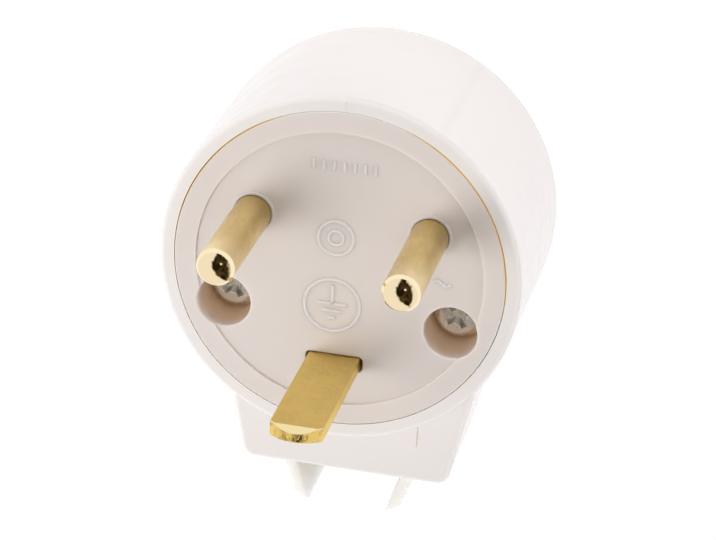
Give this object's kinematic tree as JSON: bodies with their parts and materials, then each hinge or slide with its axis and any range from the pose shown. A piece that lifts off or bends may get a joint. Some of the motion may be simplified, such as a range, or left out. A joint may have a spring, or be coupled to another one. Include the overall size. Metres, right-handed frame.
{
  "type": "angled plug",
  "caption": "Round white mains plug with two round brass pins, a flat brass earth pin, recessed case screws and a tapered side cable outlet with a toothed cord grip.",
  "frame": {"origin": "centre of the round body's flat back, the face the plug stands on", "axes": "+Z along the pins, out of the pin face; -Y towards the cable outlet; +X from the line pin to the neutral pin"},
  "size_m": [0.0542, 0.074, 0.057],
  "materials": {
    "housing_plastic": "glossy white moulding",
    "base_plastic": "satin warm white moulding",
    "inner_plastic": "satin warm white moulding",
    "grip_nylon": "natural nylon, slightly translucent",
    "brass": "satin along the sides, polished at the tips",
    "terminal_brass": "milled",
    "zinc_steel": "bright zinc plate"
  },
  "bodies": {
    "root": {"housing": "housing_plastic", "pin_base": "base_plastic", "pin_retainer": "inner_plastic", "line_pin": "brass", "neutral_pin": "brass", "earth_pin": "brass", "line_terminal": "terminal_brass", "neutral_terminal": "terminal_brass", "earth_terminal": "terminal_brass", "earth_rivet": "terminal_brass", "line_terminal_screw": "zinc_steel", "neutral_terminal_screw": "zinc_steel", "earth_terminal_screw": "zinc_steel", "case_screw_left": "zinc_steel", "case_screw_right": "zinc_steel", "retainer_screw_upper": "zinc_steel", "retainer_screw_lower": "zinc_steel", "cord_grip_left": "grip_nylon", "cord_grip_right": "grip_nylon"}
  },
  "joints": []
}
